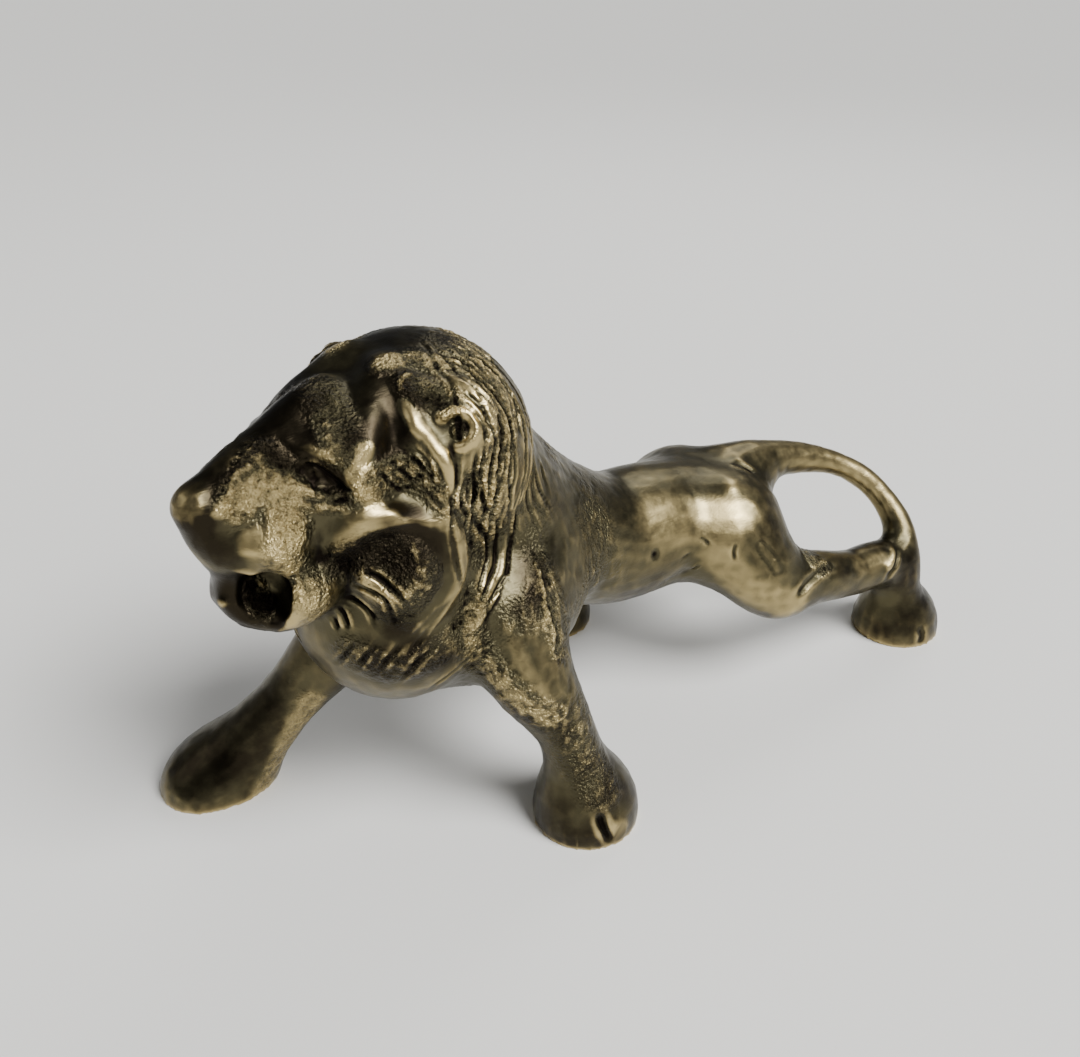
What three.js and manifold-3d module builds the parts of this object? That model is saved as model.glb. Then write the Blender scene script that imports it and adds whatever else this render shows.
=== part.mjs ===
// A small cast brass lion on the prowl: big maned head with an open mouth, long waist, four splayed legs
// on domed paws, and a tail that arches down onto the left hock. It is one solid casting.
// Millimetres, +Z up, the lion faces -Y, +X is its left side. The origin is under the middle of its box.
//
// The lion is modelled as clay is: round lumps and tapering limbs are pressed together with soft seams,
// hollows are scooped out, and the skin of the result is turned into triangles and thinned.

import * as THREE from "three";
import Module from "manifold-3d";

// Driving sizes, in millimetres.
const LENGTH = 226; // nose to the back of the left hind paw
const PAW_WIDTH = 26;
const PAW_HEIGHT = 15; // of the dome, without the ankle
const WAIST_RADIUS = 17.5;
const FORELEG_RADIUS = 7.2; // where the leg is thinnest
const SHANK_RADIUS = 6.8; // of the left hind leg, half way from knee to hock
const TAIL_RADIUS = 3.5; // half way round the arch
const HEAD_RADIUS = 26; // of the domed cap of mane
const EAR_WIDTH = 18.5;
const MOUTH_WIDTH = 10.5; // inside its rounded lips
const MOUTH_HEIGHT = 12;
const HEAD_TURN = 12; // degrees to its left
const HEAD_TILT = 3; // degrees, left ear up
const CELL = 1.8; // spacing of the grid that the skin is sampled on
const TRIANGLES = 9600; // what the skin is thinned to

// The pose and the proportions are shares of the length, each written as it measures on a lion 226 mm long.
const S = LENGTH / 226;
const mm = (...sizes) => sizes.map((size) => size * S);
const GROUND = 3 * S; // height that the soles are cut at

const wasm = await Module();
wasm.setup();

// Clay tools. A form is a function of a point that gives the distance to its skin, negative inside.

// An ellipsoid: its centre, its three radii, and its turn about X, Y and Z in degrees.
function lump(centre, radii, turn = [0, 0, 0]) {
  const inverse = new THREE.Matrix4()
    .makeRotationFromEuler(new THREE.Euler(...turn.map(THREE.MathUtils.degToRad)))
    .setPosition(...centre)
    .invert();
  const m = inverse.elements;
  const [rx, ry, rz] = radii;
  return (x, y, z) => {
    const a = (m[0] * x + m[4] * y + m[8] * z + m[12]) / rx;
    const b = (m[1] * x + m[5] * y + m[9] * z + m[13]) / ry;
    const c = (m[2] * x + m[6] * y + m[10] * z + m[14]) / rz;
    const near = Math.sqrt(a * a + b * b + c * c);
    const slope = Math.sqrt((a * a) / (rx * rx) + (b * b) / (ry * ry) + (c * c) / (rz * rz));
    return slope < 1e-9 ? -Math.min(rx, ry, rz) : (near * (near - 1)) / slope;
  };
}

// A limb: a smooth curve through stations [x, y, z, radius], with its girth running smoothly between them.
function limb(stations, steps = 5) {
  const path = new THREE.CatmullRomCurve3(stations.map(([x, y, z]) => new THREE.Vector3(x, y, z)));
  const girth = new THREE.SplineCurve(stations.map(([, , , r], i) => new THREE.Vector2(i, r)));
  const count = (stations.length - 1) * steps;
  const rings = Array.from({ length: count + 1 }, (_, i) => {
    const p = path.getPoint(i / count);
    return [p.x, p.y, p.z, girth.getPoint(i / count).y];
  });
  const box = new THREE.Box3().setFromPoints(rings.map(([x, y, z]) => new THREE.Vector3(x, y, z)));
  const widest = Math.max(...rings.map((r) => r[3]));
  const far = 9 * S;
  return (x, y, z) => {
    const dx = Math.max(box.min.x - x, 0, x - box.max.x);
    const dy = Math.max(box.min.y - y, 0, y - box.max.y);
    const dz = Math.max(box.min.z - z, 0, z - box.max.z);
    const outside = Math.sqrt(dx * dx + dy * dy + dz * dz) - widest;
    if (outside > far) return outside;
    let best = Infinity;
    for (let i = 0; i < count; i++) {
      const [ax, ay, az, ar] = rings[i];
      const [bx, by, bz, br] = rings[i + 1];
      const [ux, uy, uz] = [bx - ax, by - ay, bz - az];
      const along = ((x - ax) * ux + (y - ay) * uy + (z - az) * uz) / (ux * ux + uy * uy + uz * uz);
      const t = Math.min(1, Math.max(0, along));
      const [px, py, pz] = [x - ax - t * ux, y - ay - t * uy, z - az - t * uz];
      const d = Math.sqrt(px * px + py * py + pz * pz) - ar - t * (br - ar);
      if (d < best) best = d;
    }
    return best;
  };
}

// The same form on both sides of the lion.
const paired = (form) => (x, y, z) => form(Math.abs(x), y, z);

// A form turned as one piece about a pivot.
function turned(form, pivot, turn) {
  const angles = new THREE.Euler(...turn.map(THREE.MathUtils.degToRad), "ZYX");
  const m = new THREE.Matrix4()
    .makeTranslation(...pivot)
    .multiply(new THREE.Matrix4().makeRotationFromEuler(angles))
    .multiply(new THREE.Matrix4().makeTranslation(...pivot.map((n) => -n)))
    .invert().elements;
  return (x, y, z) =>
    form(
      m[0] * x + m[4] * y + m[8] * z + m[12],
      m[1] * x + m[5] * y + m[9] * z + m[13],
      m[2] * x + m[6] * y + m[10] * z + m[14],
    );
}

// Presses forms together; the seam is filled over a width of blend.
function join(blend, ...forms) {
  return (x, y, z) => {
    let d = forms[0](x, y, z);
    for (let i = 1; i < forms.length; i++) {
      const e = forms[i](x, y, z);
      const h = Math.max(blend - Math.abs(d - e), 0) / blend;
      d = Math.min(d, e) - (h * h * blend) / 4;
    }
    return d;
  };
}

// Scoops the tools out of a form; the lip is rounded over a width of blend.
function scoop(blend, form, ...tools) {
  return (x, y, z) => {
    let d = form(x, y, z);
    for (const tool of tools) {
      const e = -tool(x, y, z);
      const h = Math.max(blend - Math.abs(d - e), 0) / blend;
      d = Math.max(d, e) + (h * h * blend) / 4;
    }
    return d;
  };
}

// Trunk: deep shoulders and chest, a narrow waist and a level back.
const spine = limb([
  mm(0, -32, 81, 18.5),
  mm(0, -14, 66, 17.5),
  [...mm(0, 4, 55.3), WAIST_RADIUS],
  [...mm(0, 20, 53.3), WAIST_RADIUS],
  mm(0, 36, 52, 16),
  mm(0, 48, 52, 13),
  mm(0, 57, 56, 9),
]);
const shoulders = paired(lump(mm(13, -31, 60), mm(14, 19, 22)));
const chest = lump(mm(2, -44, 53), mm(20, 19, 18));
const haunches = paired(lump(mm(10.5, 42, 50.5), mm(12, 16, 15)));
const trunk = join(8 * S, spine, shoulders, chest, haunches);

// Legs. The right pair steps forward; the left pair is left behind.
const leftForeleg = limb([
  mm(18, -37, 62, 13.5),
  mm(27, -37, 48, 10.5),
  mm(33, -31, 32, FORELEG_RADIUS / S),
  mm(34.8, -28.5, 21, FORELEG_RADIUS / S + 0.7),
  mm(35.5, -26, 10, 11.2),
]);
const rightForeleg = limb([
  mm(-13, -52, 54, 13),
  mm(-17, -66, 39, 9.5),
  mm(-21, -76, 27, FORELEG_RADIUS / S + 0.5),
  mm(-25, -84.5, 16.5, 8.8),
  mm(-29, -90, 8, 11),
]);
const leftThigh = limb([mm(12, 41, 51, 14), mm(18, 46, 42, 12.5), mm(23, 52, 35, 9.5)]);
const leftShank = limb([
  mm(21, 50, 35, 8.5),
  mm(25.5, 62, 34.5, 7.8),
  mm(27, 77, 31, SHANK_RADIUS / S),
  mm(27.5, 93, 28.5, 7),
  mm(28.5, 98.5, 20, 6.6),
  mm(28.5, 102, 9, 9.5),
]);
const rightThigh = limb([
  mm(-12, 42, 50, 13.5),
  mm(-19, 37, 42, 11.5),
  mm(-27, 31, 34, 8.5),
  mm(-34, 24, 20, 6.8),
  mm(-38.5, 19, 9, 9),
]);

// A paw is a dome standing on a flat sole.
const paw = (x, y, turn = 0, stretch = 1, height = PAW_HEIGHT) =>
  lump([x * S, y * S, GROUND], [PAW_WIDTH / 2, (PAW_WIDTH / 2) * stretch, height], [0, 0, turn]);
const leftForepaw = paw(35.5, -25.5);
const rightForepaw = paw(-31, -95, 15, 1.15, PAW_HEIGHT * 0.8);
const leftHindpaw = paw(28.5, 103.5);
const rightHindpaw = paw(-38.8, 18);
const paws = join(1, leftForepaw, rightForepaw, leftHindpaw, rightHindpaw);
const legs = join(5 * S, leftForeleg, rightForeleg, leftThigh, leftShank, rightThigh, paws);

// Tail: out of the rump, over in an arch and down on to the left hock, where its tuft lies.
const tail = limb([
  mm(0, 52, 60, 8),
  mm(1.5, 65, 61, 5.8),
  mm(4, 78, 59, 4.6),
  mm(8, 88.5, 55.8, TAIL_RADIUS / S),
  mm(13, 96, 51, TAIL_RADIUS / S),
  mm(18, 100, 45.5, TAIL_RADIUS / S),
  mm(23.5, 102, 38.5, 4.2),
  mm(27.5, 101.5, 32, 4.6),
  mm(30, 100.5, 25, 4.2),
  mm(29.5, 100, 17, 2.6),
]);

// Head, drawn facing straight forward: a domed cap of mane, a ruff round the jaw and a wedge of a face.
const cap = lump(mm(0, -50, 98), [HEAD_RADIUS, HEAD_RADIUS, HEAD_RADIUS]);
const ruff = lump(mm(0, -60, 67), mm(24, 23, 25));
const nape = lump(mm(0, -34, 80), mm(20, 17, 20));
const face = lump(mm(0, -70, 98), mm(18, 17, 18));
const muzzle = limb([mm(0, -76, 101, 12.5), mm(0, -88, 98, 10.5), mm(0, -94, 95, 8)]);
const jaw = lump(mm(0.5, -88.5, 83), mm(13, 13.5, 9.5));
const skull = join(5 * S, cap, ruff, nape, face, muzzle, jaw);

// Face: a long bridge that ends in a pointed nose, with the muzzle falling away in flat sides below it.
const bridge = limb([
  mm(0, -72, 113, 8),
  mm(0, -82, 110.5, 6.3),
  mm(0, -92, 108, 5.3),
  mm(0, -102, 104.5, 4.4),
]);
const nose = limb([mm(0, -102, 104.3, 4.4), mm(0, -99.5, 99, 6), mm(0, -95, 95, 8)]);
const muzzleSides = paired(lump(mm(3, -91, 102.5), mm(4.6, 10, 6.5)));
const pads = paired(lump(mm(6, -91.5, 94.5), mm(6.5, 8, 7.5)));

// Brows: a heavy one over each eye, and a fold that drops from the forehead past the outer corner of the eye.
const brows = paired(limb([mm(3, -82, 109, 5), mm(8, -77.5, 109.5, 5.2), mm(12, -74.5, 107, 4.5)]));
const folds = paired(limb([
  mm(5.5, -60, 118, 5.2),
  mm(8.5, -66, 114.5, 5),
  mm(11.5, -71.5, 110.5, 4.6),
  mm(13.6, -75, 106, 4),
  mm(14.6, -77, 101, 3.6),
  mm(15, -77, 96, 4),
]));

// Jowls: full cheeks, each with a rolled rim behind and above.
const jowls = paired(lump(mm(15, -67.5, 84), mm(10, 12, 13)));
const rims = paired(limb([
  mm(12, -80.5, 93, 3),
  mm(17, -77, 96, 3),
  mm(20.5, -70, 96.5, 3),
  mm(22.5, -64.5, 93, 3.2),
  mm(23.5, -62, 86, 3.2),
  mm(22.5, -64, 77.5, 3.2),
  mm(20, -69, 72, 3),
]));

// Ears: round discs that look forward and outward, each behind a lock of hair that starts at the brow.
const EAR_TURN = [0, -25, -30];
const ears = paired(lump(mm(19.5, -56, 110.5), [6.5 * S, EAR_WIDTH / 2, EAR_WIDTH / 2], EAR_TURN));
const locks = paired(limb([
  mm(5.6, -59, 119, 3),
  mm(11.1, -60.7, 116.4, 3.6),
  mm(17.6, -61.9, 110.5, 3.6),
  mm(20.6, -61.5, 105, 3.2),
  mm(22, -60.3, 97.5, 2.4),
]));
const cheeks = join(2.5 * S, jowls, rims);
const features = join(2.5 * S, skull, bridge, nose, muzzleSides, pads, brows, folds, cheeks, locks, ears);

// Hollows: cupped ears, the slits of the eyes, dents in the brows, temples and jowls, the seams behind the
// jowls, and the open mouth, which gapes a little to the left.
const earCups = paired(lump(mm(24.7, -59.8, 113.5), [3.8 * S, EAR_WIDTH * 0.33, EAR_WIDTH * 0.36], EAR_TURN));
const eyes = paired(limb([mm(9.5, -84.5, 107.5, 1.4), mm(13, -82, 105, 2.2), mm(17, -79.5, 102, 1.5)]));
const browDents = paired(lump(mm(9.5, -79, 118.5), mm(4, 6, 4.5)));
const temples = paired(lump(mm(22.5, -69.5, 104.5), mm(5.5, 5, 7)));
const jowlDents = paired(lump(mm(25, -80.5, 88.5), mm(9, 9, 9)));
const seams = paired(limb([
  mm(25, -57, 99, 1.4),
  mm(26, -54.5, 92, 2.2),
  mm(25.5, -53.5, 84, 2.6),
  mm(24.5, -56, 75, 2.4),
  mm(22, -61, 67, 2),
]));
const mouth = lump(mm(6.3, -95.8, 84.2), [MOUTH_WIDTH / 2, 8 * S, MOUTH_HEIGHT / 2], [0, 0, 38]);
const head = turned(
  scoop(3.5 * S, scoop(2.2 * S, features, eyes, browDents, temples, jowlDents, seams), mouth, earCups),
  mm(0, -35, 90),
  [0, -HEAD_TILT, HEAD_TURN],
);

const form = join(6 * S, join(5 * S, trunk, legs), head, tail);

// The box that holds the form, with room round it.
const BOX = new THREE.Box3(
  new THREE.Vector3(...mm(-60, -125, -16)),
  new THREE.Vector3(...mm(65, 130, 135)),
);

// The skin of a form, by marching tetrahedra: each cube of the grid is cut into six tetrahedra about its
// long diagonal, and each tetrahedron that the skin crosses gives one or two triangles. The result is always
// closed.
function skinOf(form, box, cell) {
  const size = box.getSize(new THREE.Vector3());
  const [nx, ny, nz] = size.toArray().map((length) => Math.ceil(length / cell) + 1);
  const count = nx * ny * nz;
  const values = new Float64Array(count);
  const xAt = (i) => box.min.x + i * cell;
  const yAt = (j) => box.min.y + j * cell;
  const zAt = (k) => box.min.z + k * cell;

  // Only blocks that the skin can reach are sampled closely; the rest take the sign of the block's middle.
  const block = 4;
  const half = (block - 1) / 2;
  const reach = half * cell * Math.sqrt(3) + cell;
  for (let k0 = 0; k0 < nz; k0 += block)
    for (let j0 = 0; j0 < ny; j0 += block)
      for (let i0 = 0; i0 < nx; i0 += block) {
        const middle = form(xAt(i0 + half), yAt(j0 + half), zAt(k0 + half));
        const close = Math.abs(middle) < reach * 1.5;
        for (let k = k0; k < Math.min(k0 + block, nz); k++)
          for (let j = j0; j < Math.min(j0 + block, ny); j++)
            for (let i = i0; i < Math.min(i0 + block, nx); i++)
              values[(k * ny + j) * nx + i] = close ? form(xAt(i), yAt(j), zAt(k)) : middle;
      }

  const vertices = [];
  const faces = [];
  const made = new Map();
  const place = (id) => [xAt(id % nx), yAt(Math.floor(id / nx) % ny), zAt(Math.floor(id / (nx * ny)))];
  const cut = (a, b) => {
    const key = a < b ? a * count + b : b * count + a;
    let vertex = made.get(key);
    if (vertex === undefined) {
      const t = values[a] / (values[a] - values[b]);
      const [p, q] = [place(a), place(b)];
      vertex = vertices.length / 3;
      for (let n = 0; n < 3; n++) vertices.push(p[n] + t * (q[n] - p[n]));
      made.set(key, vertex);
    }
    return vertex;
  };

  // The corners of a cube in the order first, ring of six, last; each pair of ring neighbours makes a
  // tetrahedron. Swapping two corners turns a triangle over, so each case lists the corners in the order
  // that makes its triangles face out.
  const step = [1, nx, nx * ny];
  const ring = [1, 3, 2, 6, 4, 5].map((bits) => step.reduce((sum, s, n) => sum + ((bits >> n) & 1) * s, 0));
  const last = step[0] + step[1] + step[2];
  const tetrahedron = (a, b, c, d) => {
    const inside = (values[a] < 0) + 2 * (values[b] < 0) + 4 * (values[c] < 0) + 8 * (values[d] < 0);
    const three = (p, q, r, s) => faces.push([cut(p, q), cut(p, r), cut(p, s)]);
    const four = (p, q, r, s) => {
      const [m, n] = [cut(p, r), cut(q, s)];
      faces.push([m, cut(p, s), n], [n, cut(q, r), m]);
    };
    if (inside === 1) three(a, b, c, d);
    else if (inside === 2) three(b, a, d, c);
    else if (inside === 4) three(c, a, b, d);
    else if (inside === 8) three(d, a, c, b);
    else if (inside === 14) three(a, b, d, c);
    else if (inside === 13) three(b, a, c, d);
    else if (inside === 11) three(c, a, d, b);
    else if (inside === 7) three(d, a, b, c);
    else if (inside === 3) four(a, b, c, d);
    else if (inside === 5) four(a, c, d, b);
    else if (inside === 9) four(a, d, b, c);
    else if (inside === 6) four(b, c, a, d);
    else if (inside === 10) four(b, d, c, a);
    else if (inside === 12) four(c, d, a, b);
  };
  for (let k = 0; k < nz - 1; k++)
    for (let j = 0; j < ny - 1; j++)
      for (let i = 0; i < nx - 1; i++) {
        const first = (k * ny + j) * nx + i;
        let inside = (values[first] < 0) + (values[first + last] < 0);
        for (const offset of ring) inside += values[first + offset] < 0;
        if (inside === 0 || inside === 8) continue;
        for (let n = 0; n < 6; n++)
          tetrahedron(first, first + ring[n], first + ring[(n + 1) % 6], first + last);
      }
  return { vertices, faces };
}

// Cuts off what lies below a height, and closes the cut with flat faces.
function cutFlat({ vertices, faces }, height) {
  const mesh = new wasm.Mesh({
    numProp: 3,
    vertProperties: Float32Array.from(vertices),
    triVerts: Uint32Array.from(faces.flat()),
  });
  const { vertProperties, triVerts } = new wasm.Manifold(mesh).trimByPlane([0, 0, 1], height).getMesh();
  const kept = [];
  for (let n = 0; n < triVerts.length; n += 3) kept.push([triVerts[n], triVerts[n + 1], triVerts[n + 2]]);
  return { vertices: vertProperties, faces: kept };
}

// Thins a closed mesh by closing up its cheapest edges. The cost of an edge is how far its new vertex strays
// from the faces that it stands for, and faces where care is high are kept finer.
function thinned({ vertices, faces }, target, care) {
  const at = Float64Array.from(vertices);
  const total = at.length / 3;
  const around = Array.from({ length: total }, () => []);
  const alive = new Uint8Array(faces.length).fill(1);
  faces.forEach((f, id) => f.forEach((v) => around[v].push(id)));

  // The area vector of a face, with vertex v taken to be at the point (x, y, z).
  const normal = new Float64Array(3);
  const corner = new Float64Array(9);
  const measure = (f, v, x, y, z) => {
    for (let n = 0; n < 3; n++) {
      const w = f[n];
      corner[3 * n] = w === v ? x : at[3 * w];
      corner[3 * n + 1] = w === v ? y : at[3 * w + 1];
      corner[3 * n + 2] = w === v ? z : at[3 * w + 2];
    }
    const [ux, uy, uz] = [corner[3] - corner[0], corner[4] - corner[1], corner[5] - corner[2]];
    const [wx, wy, wz] = [corner[6] - corner[0], corner[7] - corner[1], corner[8] - corner[2]];
    normal[0] = uy * wz - uz * wy;
    normal[1] = uz * wx - ux * wz;
    normal[2] = ux * wy - uy * wx;
  };

  // Each vertex carries the sum of its faces' plane quadrics, as ten numbers.
  const quadrics = new Float64Array(total * 10);
  for (const f of faces) {
    measure(f, -1, 0, 0, 0);
    const area = Math.hypot(...normal);
    if (area < 1e-9) continue;
    const [nx, ny, nz] = [normal[0] / area, normal[1] / area, normal[2] / area];
    const d = -(nx * corner[0] + ny * corner[1] + nz * corner[2]);
    const weight = (area / 2) * care(corner[0], corner[1], corner[2]);
    const terms = [nx * nx, nx * ny, nx * nz, nx * d, ny * ny, ny * nz, ny * d, nz * nz, nz * d, d * d];
    for (const v of f) for (let n = 0; n < 10; n++) quadrics[10 * v + n] += weight * terms[n];
  }

  // Where the merged vertex goes: the point that strays least, or the middle of the edge where that is far.
  const q = new Float64Array(10);
  const merge = (u, v) => {
    for (let n = 0; n < 10; n++) q[n] = quadrics[10 * u + n] + quadrics[10 * v + n];
    const [mx, my, mz] = [0, 1, 2].map((n) => (at[3 * u + n] + at[3 * v + n]) / 2);
    const [ex, ey, ez] = [0, 1, 2].map((n) => at[3 * u + n] - at[3 * v + n]);
    const long = ex * ex + ey * ey + ez * ez;
    const pull = 2e-3 * (q[0] + q[4] + q[7]);
    const [a, d, f] = [q[0] + pull, q[4] + pull, q[7] + pull];
    const [b, c, e] = [q[1], q[2], q[5]];
    const [r, s, t] = [pull * mx - q[3], pull * my - q[6], pull * mz - q[8]];
    const det = a * (d * f - e * e) - b * (b * f - c * e) + c * (b * e - c * d);
    let x = (r * (d * f - e * e) - b * (s * f - e * t) + c * (s * e - d * t)) / det;
    let y = (a * (s * f - e * t) - r * (b * f - c * e) + c * (b * t - s * c)) / det;
    let z = (a * (d * t - s * e) - b * (b * t - s * c) + r * (b * e - c * d)) / det;
    if (!((x - mx) ** 2 + (y - my) ** 2 + (z - mz) ** 2 < long)) [x, y, z] = [mx, my, mz];
    const strayed =
      q[0] * x * x + 2 * q[1] * x * y + 2 * q[2] * x * z + 2 * q[3] * x + q[4] * y * y +
      2 * q[5] * y * z + 2 * q[6] * y + q[7] * z * z + 2 * q[8] * z + q[9];
    return { u, v, x, y, z, cost: Math.max(strayed, 0) + 1e-3 * long, stamp: 0 };
  };

  // A heap of edges, cheapest first. An edge is stale once either end has moved.
  const heap = [];
  const moves = new Uint32Array(total);
  const push = (edge) => {
    edge.stamp = moves[edge.u] + moves[edge.v];
    let n = heap.length;
    while (n > 0) {
      const parent = (n - 1) >> 1;
      if (heap[parent].cost <= edge.cost) break;
      heap[n] = heap[parent];
      n = parent;
    }
    heap[n] = edge;
  };
  const pop = () => {
    const top = heap[0];
    const edge = heap.pop();
    if (heap.length === 0) return top;
    let n = 0;
    for (;;) {
      let child = 2 * n + 1;
      if (child >= heap.length) break;
      if (child + 1 < heap.length && heap[child + 1].cost < heap[child].cost) child++;
      if (heap[child].cost >= edge.cost) break;
      heap[n] = heap[child];
      n = child;
    }
    heap[n] = edge;
    return top;
  };

  const neighbours = (v) => {
    const found = [];
    for (const id of around[v]) for (const n of faces[id]) if (n !== v && !found.includes(n)) found.push(n);
    return found;
  };
  // A merge must leave the mesh closed, and must not fold or flatten a face.
  const folds = (end, other, { x, y, z }) =>
    around[end].some((id) => {
      const f = faces[id];
      if (f.includes(other)) return false;
      measure(f, -1, 0, 0, 0);
      const [nx, ny, nz] = normal;
      measure(f, end, x, y, z);
      const before = Math.sqrt(normal[0] ** 2 + normal[1] ** 2 + normal[2] ** 2);
      const sizes = Math.sqrt(nx * nx + ny * ny + nz * nz) * before;
      return sizes < 1e-9 || nx * normal[0] + ny * normal[1] + nz * normal[2] < 0.25 * sizes;
    });
  const allowed = (edge) => {
    const near = neighbours(edge.u);
    const shared = neighbours(edge.v).filter((n) => near.includes(n)).length;
    return shared === 2 && !folds(edge.u, edge.v, edge) && !folds(edge.v, edge.u, edge);
  };

  for (const [a, b, c] of faces) {
    if (a < b) push(merge(a, b));
    if (b < c) push(merge(b, c));
    if (c < a) push(merge(c, a));
  }
  let left = faces.length;
  while (left > target && heap.length > 0) {
    const edge = pop();
    const { u, v } = edge;
    if (edge.stamp !== moves[u] + moves[v] || around[v].length === 0 || !allowed(edge)) continue;
    const touched = neighbours(v);
    for (const id of around[v]) {
      const f = faces[id];
      if (f.includes(u)) {
        alive[id] = 0;
        left--;
      } else {
        f[f.indexOf(v)] = u;
        around[u].push(id);
      }
    }
    around[v] = [];
    for (const n of touched) around[n] = around[n].filter((id) => alive[id]);
    moves[u]++;
    moves[v]++;
    [at[3 * u], at[3 * u + 1], at[3 * u + 2]] = [edge.x, edge.y, edge.z];
    for (let n = 0; n < 10; n++) quadrics[10 * u + n] += quadrics[10 * v + n];
    for (const n of neighbours(u)) push(merge(u, n));
  }
  return { at, faces: faces.filter((_, id) => alive[id]) };
}

// The head is kept finer than the body.
const care = (x, y, z) => (y < -40 * S && z > 60 * S ? 4 : 1);
const thin = thinned(cutFlat(skinOf(form, BOX, CELL), GROUND), TRIANGLES, care);

// The soles are flat on the ground, and the lion is moved so that its box stands over the origin.
const corner = (v) => {
  const [x, y, z] = thin.at.subarray(3 * v, 3 * v + 3);
  return [x, y, Math.abs(z - GROUND) < 0.3 ? GROUND : z];
};
const corners = Float32Array.from(thin.faces.flat().flatMap(corner));
const geometry = new THREE.BufferGeometry();
geometry.setAttribute("position", new THREE.BufferAttribute(corners, 3));
geometry.computeBoundingBox();
const middle = geometry.boundingBox.getCenter(new THREE.Vector3());
geometry.translate(-middle.x, -middle.y, -GROUND);
geometry.computeVertexNormals();

const brass = new THREE.MeshStandardMaterial({ color: 0x9a7f4a, metalness: 1, roughness: 0.4 });
const lion = new THREE.Mesh(geometry, brass);
lion.name = "lion";

const group = new THREE.Group();
group.add(lion);
export default group;
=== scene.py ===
import bpy
import bmesh
import math
import numpy as np
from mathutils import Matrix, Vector
from mathutils.bvhtree import BVHTree


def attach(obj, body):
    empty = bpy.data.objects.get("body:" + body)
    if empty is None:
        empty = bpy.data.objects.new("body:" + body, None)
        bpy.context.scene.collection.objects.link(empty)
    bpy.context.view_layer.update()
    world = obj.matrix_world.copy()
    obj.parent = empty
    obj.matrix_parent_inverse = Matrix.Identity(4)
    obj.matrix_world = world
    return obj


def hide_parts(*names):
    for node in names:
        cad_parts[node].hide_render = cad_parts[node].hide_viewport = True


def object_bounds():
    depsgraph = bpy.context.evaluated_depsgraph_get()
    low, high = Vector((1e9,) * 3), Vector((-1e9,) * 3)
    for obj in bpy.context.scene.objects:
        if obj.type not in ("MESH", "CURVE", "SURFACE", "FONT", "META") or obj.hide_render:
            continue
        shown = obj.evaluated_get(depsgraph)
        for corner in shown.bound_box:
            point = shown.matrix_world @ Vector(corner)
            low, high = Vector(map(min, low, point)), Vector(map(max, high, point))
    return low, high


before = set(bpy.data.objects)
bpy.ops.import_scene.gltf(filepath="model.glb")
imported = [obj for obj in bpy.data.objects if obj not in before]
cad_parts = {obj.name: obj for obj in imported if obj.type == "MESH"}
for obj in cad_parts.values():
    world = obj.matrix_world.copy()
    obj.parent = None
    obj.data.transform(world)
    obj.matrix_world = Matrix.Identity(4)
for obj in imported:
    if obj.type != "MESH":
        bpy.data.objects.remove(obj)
cad_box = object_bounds()


# The camera
# A phone held about one length of the lion away from its head, on the lion's left, ahead of it and
# above it. It looks 30 degrees down, and its lens is as wide as a phone's.

PHOTO_WIDTH = 1080
PHOTO_HEIGHT = 1057
LENS_PIXELS = 1083
CAMERA_PLACE = np.array([191.8, -155.4, 197.0])
CAMERA_AZIMUTH = 54
CAMERA_DOWN = 30
SENSOR = 36.0
NEAREST = 0.01
FARTHEST = 20

azimuth = math.radians(CAMERA_AZIMUTH)
down = math.radians(CAMERA_DOWN)
ahead = np.array([-math.sin(azimuth) * math.cos(down), math.cos(azimuth) * math.cos(down),
                  -math.sin(down)])
rightward = np.array([math.cos(azimuth), math.sin(azimuth), 0.0])
downward = np.cross(ahead, rightward)

camera_data = bpy.data.cameras.new("camera")
camera = bpy.data.objects.new("camera", camera_data)
bpy.context.scene.collection.objects.link(camera)
bpy.context.scene.camera = camera
camera_data.sensor_width = SENSOR
camera_data.lens = LENS_PIXELS / PHOTO_WIDTH * SENSOR
camera_data.clip_start = NEAREST
camera_data.clip_end = FARTHEST
camera.location = Vector(CAMERA_PLACE / 1000)
camera.rotation_mode = "QUATERNION"
camera.rotation_quaternion = Vector(ahead).to_track_quat("-Z", "Y")


# The lion
# One solid brass casting, modelled in wax, poured, and then gone over by hand with punches and a
# small chisel: the mane, the brows and the fur are cut, and the body is filed smooth. Handling has
# worn the high places bright, and old brown patina stays in every hollow.

FINE_CELL = 0.5
BODY_SMOOTHING = 60
HEAD_SMOOTHING = 14
MOST_TRIANGLES = 194000
MERGE_REACH = 0.000002

casting_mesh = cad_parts["lion"].data.copy()
shape = bmesh.new()
shape.from_mesh(casting_mesh)
bmesh.ops.remove_doubles(shape, verts=shape.verts, dist=MERGE_REACH)
bmesh.ops.recalc_face_normals(shape, faces=shape.faces)
shape.to_mesh(casting_mesh)
shape.free()
casting_mesh.materials.clear()
lion = bpy.data.objects.new("lion_casting", casting_mesh)
bpy.context.scene.collection.objects.link(lion)


def applied(piece):
    """The piece with its modifiers made part of its mesh."""
    graph = bpy.context.evaluated_depsgraph_get()
    made = bpy.data.meshes.new_from_object(piece.evaluated_get(graph))
    piece.modifiers.clear()
    piece.data = made
    return piece


remesh = lion.modifiers.new("fine skin", "REMESH")
remesh.mode = "VOXEL"
remesh.voxel_size = FINE_CELL / 1000
remesh.adaptivity = 0
applied(lion)

count = len(lion.data.vertices)
skin = np.empty(count * 3, np.float32)
lion.data.vertices.foreach_get("co", skin)
skin = skin.reshape(-1, 3).astype(float) * 1000
edges = np.empty(len(lion.data.edges) * 2, np.int32)
lion.data.edges.foreach_get("vertices", edges)
edges = edges.reshape(-1, 2)
valence = np.bincount(edges.ravel(), minlength=count).astype(float)


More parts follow.
